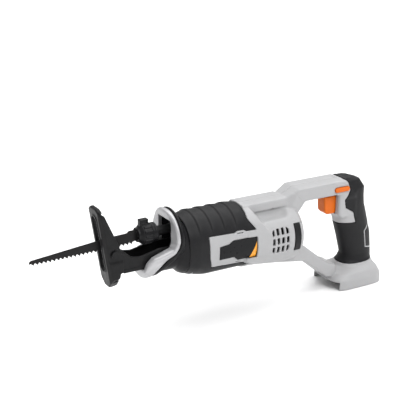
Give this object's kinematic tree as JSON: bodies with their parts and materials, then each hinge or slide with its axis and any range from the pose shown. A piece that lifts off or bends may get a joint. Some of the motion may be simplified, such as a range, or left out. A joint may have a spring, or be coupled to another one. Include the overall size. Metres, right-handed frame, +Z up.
{
  "type": "reciprocating saw",
  "caption": "Cordless reciprocating saw: a stroking blade in a twist chuck, pivoting shoe, rubber booted body and D-shaped rear handle with trigger and battery foot.",
  "frame": {"origin": "on the surface that the foot stands on, under the middle of the saw's length with its blade, in the plane where the casing halves meet", "axes": "+X backwards along the blade's stroke, from the blade's tip to the foot; +Z up; +Y to the right of the person who holds it"},
  "size_m": [0.522, 0.083, 0.1796],
  "materials": {
    "casing_grey": "fine moulded texture, light grey",
    "rubber_black": "soft matt overmoulded rubber",
    "seal_rubber": "oiled rubber",
    "badge_black": "satin printed plate",
    "badge_orange": "satin printed plate",
    "accent_grey": "matt line set in the rubber",
    "collar_silver": "silver painted casting, satin",
    "plastic_black": "glass filled nylon, satin",
    "plastic_orange": "satin moulded",
    "lens_clear": "clear moulded lens",
    "board_green": "solder mask",
    "cast_aluminium": "die cast",
    "screw_steel": "black zinc",
    "steel_bright": "ground",
    "spring_steel": "drawn wire",
    "bronze": "sintered",
    "brass": "bright",
    "black_steel": "black powder coat over pressed steel",
    "blade_black": "black coated spring steel, ground teeth",
    "gear_steel": "hardened, oiled",
    "winding_copper": "varnished copper on laminated iron",
    "motor_steel": "zinc plated",
    "carbon": "sintered carbon"
  },
  "bodies": {
    "saw": {"housing_left": "casing_grey", "housing_right": "casing_grey", "side_panel_left": "casing_grey", "side_panel_right": "casing_grey", "handle_grip": "rubber_black", "grip_boot": "rubber_black", "bumper_band_left": "rubber_black", "bumper_band_right": "rubber_black", "plunger_seal": "seal_rubber", "badge_left": "badge_black", "badge_right": "badge_black", "badge_corner_left": "badge_orange", "badge_corner_right": "badge_orange", "grip_accent_left": "accent_grey", "grip_accent_right": "accent_grey", "nose_collar": "collar_silver", "nose_bezel": "plastic_black", "terminal_block": "plastic_black", "switch_body": "plastic_black", "work_light_lens": "lens_clear", "work_light_board": "board_green", "gear_case": "cast_aluminium", "gear_case_cover": "cast_aluminium", "housing_screws": "screw_steel", "gear_case_screws": "screw_steel", "bracket_screws": "screw_steel", "spindle_bearing": "steel_bright", "motor_bearing_front": "steel_bright", "motor_bearing_rear": "steel_bright", "trigger_spring": "spring_steel", "lock_off_spring": "spring_steel", "front_bushing": "bronze", "rear_bushing": "bronze", "terminal_blades": "brass", "shoe_pins": "black_steel", "shoe_bracket": "black_steel", "motor_can": "motor_steel", "carbon_brushes": "carbon"},
    "plunger_assembly": {"plunger": "black_steel", "chuck_body": "steel_bright", "chuck_cap": "plastic_black", "clamp_pin": "steel_bright", "chuck_spring": "spring_steel", "blade": "blade_black"},
    "chuck_sleeve": {"chuck_sleeve": "plastic_black"},
    "shoe": {"shoe": "black_steel"},
    "drive_gear": {"drive_gear": "gear_steel", "crank_pin": "steel_bright", "gear_spindle": "steel_bright"},
    "rotor": {"motor_pinion": "gear_steel", "motor_shaft": "steel_bright", "armature": "winding_copper", "commutator": "brass", "cooling_fan": "plastic_black"},
    "trigger": {"trigger": "plastic_orange"},
    "lock_off_button": {"lock_off_button": "plastic_orange"}
  },
  "joints": [
    {"name": "plunger_stroke", "type": "slide", "parent": "saw", "child": "plunger_assembly", "axis": [1, 0, 0], "range_m": [-0.014, 0.008]},
    {"name": "chuck_twist", "type": "hinge", "parent": "plunger_assembly", "child": "chuck_sleeve", "pos_m": [-0.106, 0, 0.133], "axis": [1, 0, 0], "range_deg": [0, 45], "stiffness_Nm_per_rad": 0.15, "springref_deg": -17.19},
    {"name": "shoe_pivot", "type": "hinge", "parent": "saw", "child": "shoe", "pos_m": [-0.157, 0, 0.12], "axis": [0, 1, 0], "range_deg": [-12, 24]},
    {"name": "drive_gear_spin", "type": "hinge", "parent": "saw", "child": "drive_gear", "pos_m": [-0.018, 0, 0.11], "axis": [0, 0, 1], "continuous": true},
    {"name": "rotor_spin", "type": "hinge", "parent": "saw", "child": "rotor", "pos_m": [0.061, 0, 0.098], "axis": [1, 0, 0], "continuous": true},
    {"name": "trigger_pull", "type": "slide", "parent": "saw", "child": "trigger", "axis": [1, 0, 0], "range_m": [0, 0.006], "stiffness_N_per_m": 600, "springref_m": -0.006, "deforming": ["trigger_spring"]},
    {"name": "lock_off_push", "type": "slide", "parent": "saw", "child": "lock_off_button", "axis": [0, 1, 0], "range_m": [-0.0025, 0.0025], "stiffness_N_per_m": 400}
  ],
  "couplings": [
    {"joint": "rotor_spin", "follows": "drive_gear_spin", "ratio": -3.5455}
  ]
}
